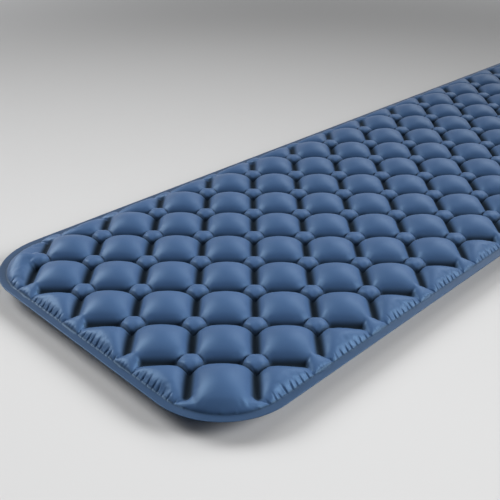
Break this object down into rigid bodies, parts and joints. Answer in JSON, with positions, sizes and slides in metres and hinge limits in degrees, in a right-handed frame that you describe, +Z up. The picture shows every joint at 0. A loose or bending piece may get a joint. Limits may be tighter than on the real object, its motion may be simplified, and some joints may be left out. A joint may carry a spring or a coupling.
{
  "type": "inflatable sleeping pad",
  "caption": "Inflatable sleeping pad of two welded sheets with diagonal square pillows, a flat rounded flange and a two-stage flat valve at one far corner.",
  "frame": {"origin": "middle of the footprint, on the surface that the pad lies on", "axes": "+Z up, +Y along the pad towards the end with the valve, +X across the pad"},
  "size_m": [0.611, 1.891, 0.067],
  "materials": {
    "top_fabric": "satin",
    "bottom_fabric": "satin",
    "valve_plastic": "satin",
    "plug_plastic": "satin",
    "tether_rubber": "matte",
    "silicone": "satin"
  },
  "bodies": {
    "pad": {"top_sheet": "top_fabric", "bottom_sheet": "bottom_fabric", "valve_base": "valve_plastic", "plug_tether": "tether_rubber"},
    "plug": {"deflate_plug": "plug_plastic", "plug_seal": "silicone", "cap_tether": "tether_rubber"},
    "cap": {"inflate_cap": "plug_plastic", "cap_seal": "silicone"},
    "flap": {"check_flap": "silicone"}
  },
  "joints": [
    {"name": "plug_hinge", "type": "hinge", "parent": "pad", "child": "plug", "pos_m": [-0.224, 0.8424, 0.0595], "axis": [1, 0, 0], "range_deg": [0, 100]},
    {"name": "cap_hinge", "type": "hinge", "parent": "plug", "child": "cap", "pos_m": [-0.224, 0.8786, 0.0647], "axis": [-1, 0, 0], "range_deg": [0, 100]},
    {"name": "flap_slide", "type": "slide", "parent": "plug", "child": "flap", "axis": [0, 0, -1], "range_m": [0, 0.0025], "stiffness_N_per_m": 5, "springref_m": -0.002}
  ]
}
